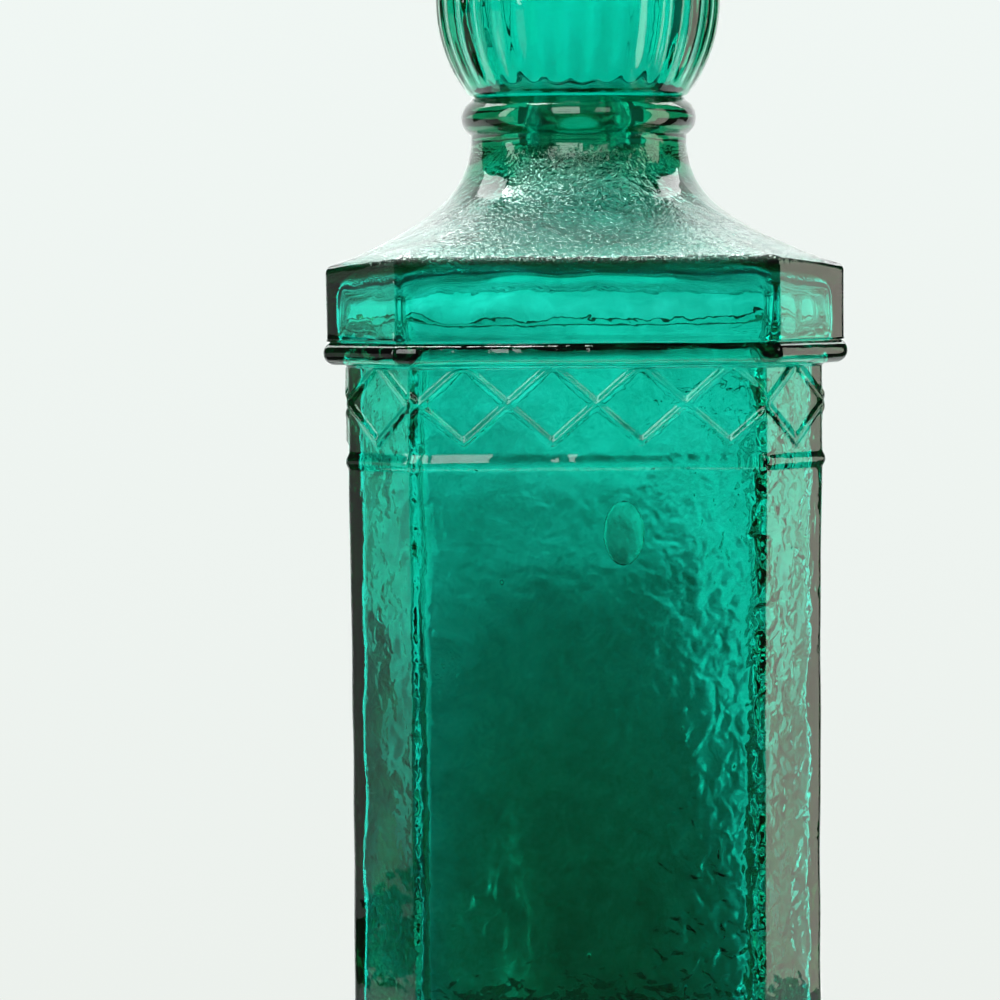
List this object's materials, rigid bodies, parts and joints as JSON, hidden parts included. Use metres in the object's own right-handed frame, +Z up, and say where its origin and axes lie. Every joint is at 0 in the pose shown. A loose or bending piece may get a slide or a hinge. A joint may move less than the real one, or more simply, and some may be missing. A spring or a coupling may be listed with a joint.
{
  "type": "decanter",
  "caption": "Square glass decanter with cut corners, a diamond lattice band under a cornice, a hollow shoulder, a beaded lip and a ribbed ball stopper.",
  "frame": {"origin": "middle of the flat underside of the base", "axes": "+Z up along the neck, front face towards -Y, +X to the right seen from the front"},
  "size_m": [0.0924, 0.0924, 0.2262],
  "materials": {
    "green_glass": "deep blue-green glass with a gently rippled, seeded surface",
    "clear_sleeve": "clear flexible plastic, satin"
  },
  "bodies": {
    "vessel": {"bottle": "green_glass"},
    "sleeve": {"stopper_sleeve": "clear_sleeve"},
    "stopper": {"stopper": "green_glass"}
  },
  "joints": [
    {"name": "stopper_lift", "type": "slide", "parent": "vessel", "child": "sleeve", "axis": [0, 0, 1], "range_m": [0, 0.06]},
    {"name": "stopper_turn", "type": "hinge", "parent": "sleeve", "child": "stopper", "pos_m": [0, 0, 0.1744], "axis": [0, 0, 1], "continuous": true}
  ]
}
